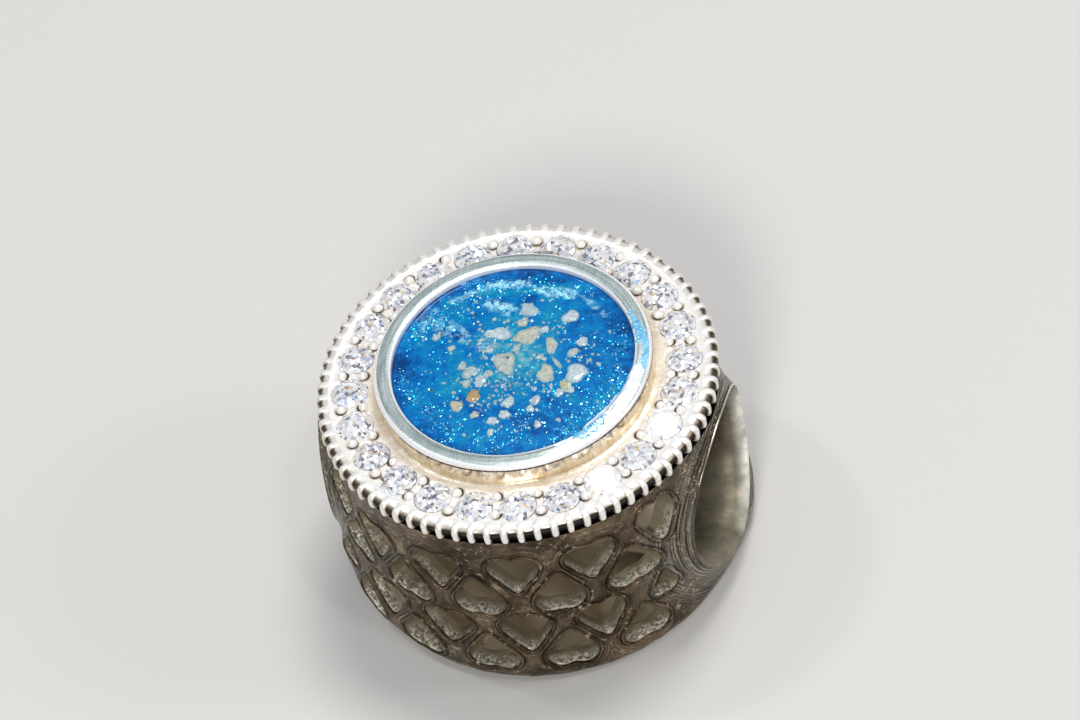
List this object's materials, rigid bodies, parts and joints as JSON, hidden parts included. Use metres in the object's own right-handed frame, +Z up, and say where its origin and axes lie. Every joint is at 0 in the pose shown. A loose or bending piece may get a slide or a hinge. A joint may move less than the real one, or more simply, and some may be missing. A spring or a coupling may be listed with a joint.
{
  "type": "cremation charm bead",
  "caption": "Drum-shaped silver charm bead with a cross bore, pierced heart sides, a paved halo and a resin-filled bezel cup that holds ashes.",
  "frame": {"origin": "middle of the bore", "axes": "+X along the bore, +Z up through the resin face"},
  "size_m": [0.012, 0.012, 0.0081],
  "materials": {
    "cast_silver": "cast and polished silver, brushed beside the bore, rough in the cut edges",
    "pave_silver": "bright-cut silver between the stones",
    "brushed_silver": "turned and satin-brushed silver",
    "blue_resin": "clear glossy resin over blue pearl glitter",
    "clear_stone": "faceted clear round stone",
    "ash": "dull pale ash fragments inside the resin"
  },
  "bodies": {
    "root": {"drum_body": "cast_silver", "pave_ring": "pave_silver", "bezel_cup": "brushed_silver", "resin_fill": "blue_resin"}
  },
  "joints": []
}
